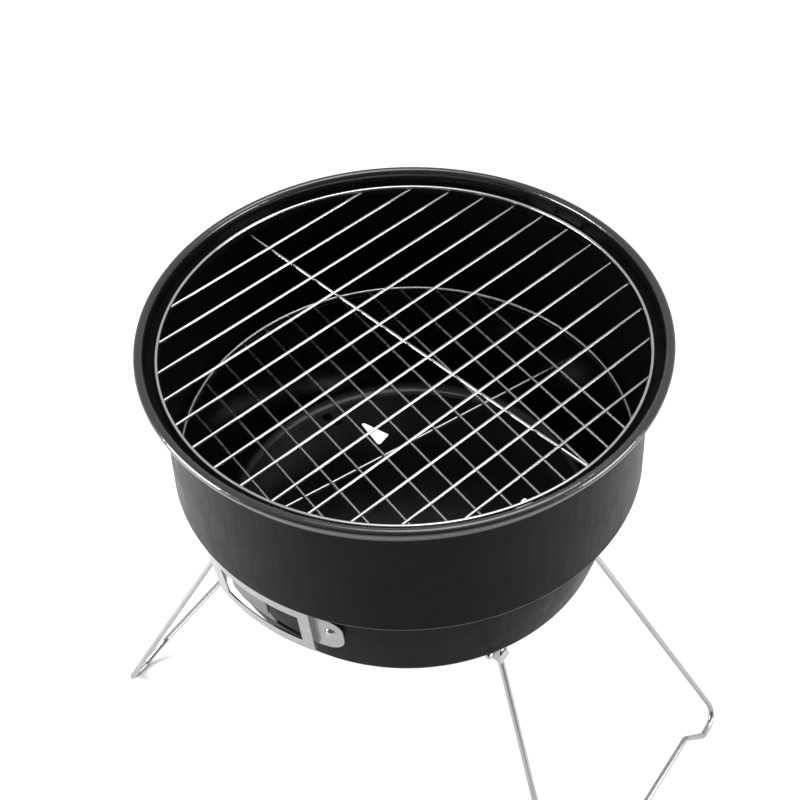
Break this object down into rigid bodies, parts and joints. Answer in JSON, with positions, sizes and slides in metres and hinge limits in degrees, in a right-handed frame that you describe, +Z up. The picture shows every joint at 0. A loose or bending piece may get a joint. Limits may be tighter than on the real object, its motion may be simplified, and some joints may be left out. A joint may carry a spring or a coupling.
{
  "type": "portable tabletop grill",
  "caption": "Round tabletop charcoal grill: rolled-rim drum on a tapered pan, lift-out wire grates, sliding air damper and folding wire leg frames.",
  "frame": {"origin": "on the ground under the centre of the bowl, midway between the feet", "axes": "+Z up, +X towards the right leg frame and square to both leg pivots, +Y towards the rear, so the air vent faces -Y"},
  "size_m": [0.3768, 0.3012, 0.3652],
  "materials": {
    "drum_enamel": "gloss black enamel with a satin bead",
    "pan_enamel": "gloss black enamel",
    "housing_sheet": "galvanised sheet",
    "damper_sheet": "galvanised sheet",
    "vent_rivet_steel": "bright domed rivet",
    "cooking_grate_chrome": "bright plated wire",
    "charcoal_grate_chrome": "bright plated wire",
    "leg_wire_steel": "bright plated wire",
    "bracket_steel": "plated sheet",
    "leg_rivet_steel": "rivet under the pan's enamel"
  },
  "bodies": {
    "bowl": {"drum": "drum_enamel", "base_pan": "pan_enamel", "vent_housing": "housing_sheet", "vent_rivet_left": "vent_rivet_steel", "vent_rivet_right": "vent_rivet_steel", "leg_bracket_right_front": "bracket_steel", "leg_bracket_right_rear": "bracket_steel", "leg_bracket_left_front": "bracket_steel", "leg_bracket_left_rear": "bracket_steel", "leg_rivets_right_front": "leg_rivet_steel", "leg_rivets_right_rear": "leg_rivet_steel", "leg_rivets_left_front": "leg_rivet_steel", "leg_rivets_left_rear": "leg_rivet_steel"},
    "vent_damper": {"vent_damper": "damper_sheet"},
    "cooking_grate": {"cooking_grate_ring": "cooking_grate_chrome", "cooking_grate_bars": "cooking_grate_chrome", "cooking_grate_cross_wire": "cooking_grate_chrome"},
    "charcoal_grate": {"charcoal_grate_ring": "charcoal_grate_chrome", "charcoal_grate_bars": "charcoal_grate_chrome", "charcoal_grate_cross_wire": "charcoal_grate_chrome"},
    "leg_frame_right": {"leg_frame_right": "leg_wire_steel"},
    "leg_frame_left": {"leg_frame_left": "leg_wire_steel"}
  },
  "joints": [
    {"name": "cooking_grate_lift", "type": "slide", "parent": "bowl", "child": "cooking_grate", "axis": [0, 0, 1], "range_m": [0, 0.15]},
    {"name": "charcoal_grate_lift", "type": "slide", "parent": "bowl", "child": "charcoal_grate", "axis": [0, 0, 1], "range_m": [0, 0.07]},
    {"name": "vent_damper_turn", "type": "hinge", "parent": "bowl", "child": "vent_damper", "pos_m": [0, 0, 0.25], "axis": [0, 0, 1], "range_deg": [-4, 8]},
    {"name": "leg_frame_right_fold", "type": "hinge", "parent": "bowl", "child": "leg_frame_right", "pos_m": [0.0946, 0, 0.1954], "axis": [0, 1, 0], "range_deg": [0, 102]},
    {"name": "leg_frame_left_fold", "type": "hinge", "parent": "bowl", "child": "leg_frame_left", "pos_m": [-0.0946, 0, 0.1954], "axis": [0, -1, 0], "range_deg": [0, 92]}
  ]
}
